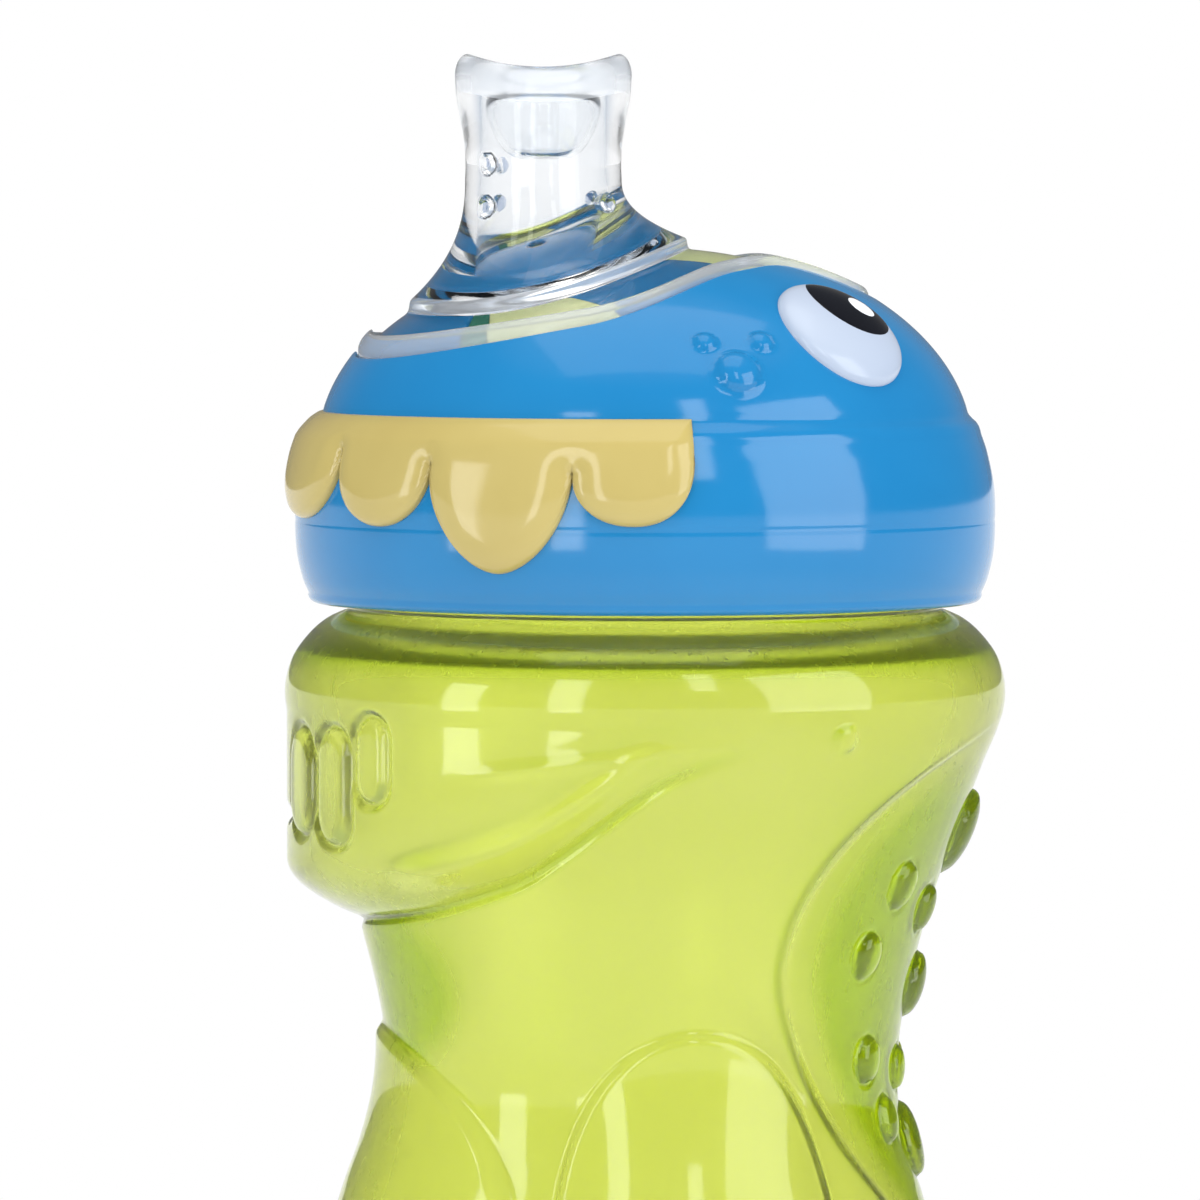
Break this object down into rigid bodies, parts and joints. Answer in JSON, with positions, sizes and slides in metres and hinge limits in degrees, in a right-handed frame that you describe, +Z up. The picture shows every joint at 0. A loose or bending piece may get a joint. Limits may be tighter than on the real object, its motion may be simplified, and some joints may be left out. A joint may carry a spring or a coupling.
{
  "type": "child's soft-spout drinking bottle",
  "caption": "Child's bottle with a waisted translucent body, a screw-on dome lid with a creature's face and a clear soft spout.",
  "frame": {"origin": "middle of the bottle's underside, on the surface it stands on", "axes": "+Z up along the bottle, -Y the way the creature on the lid looks, +X the creature's side that has the first eye"},
  "size_m": [0.0762, 0.075, 0.178],
  "materials": {
    "green_body": "glossy translucent lime plastic",
    "blue_lid": "satin-gloss blue plastic",
    "cream_teeth": "satin-gloss cream plastic",
    "eye_white": "glossy white plastic",
    "eye_black": "glossy black plastic",
    "clear_silicone": "clear glossy silicone",
    "seal_silicone": "milky satin silicone"
  },
  "bodies": {
    "bottle": {"bottle_body": "green_body"},
    "seal": {"seal_ring": "seal_silicone"},
    "lid": {"lid_shell": "blue_lid", "teeth_band": "cream_teeth", "eye_right": "eye_white", "eye_left": "eye_white", "pupil_right": "eye_black", "pupil_left": "eye_black", "spout": "clear_silicone", "spout_valve": "clear_silicone"}
  },
  "joints": [
    {"name": "lid_rise", "type": "slide", "parent": "bottle", "child": "seal", "axis": [0, 0, 1], "range_m": [0, 0.0056]},
    {"name": "lid_turn", "type": "hinge", "parent": "seal", "child": "lid", "pos_m": [0, 0, 0.128], "axis": [0, 0, 1], "range_deg": [0, 360]}
  ],
  "couplings": [
    {"joint": "lid_rise", "follows": "lid_turn", "m_per_rad": 0.00087535}
  ]
}
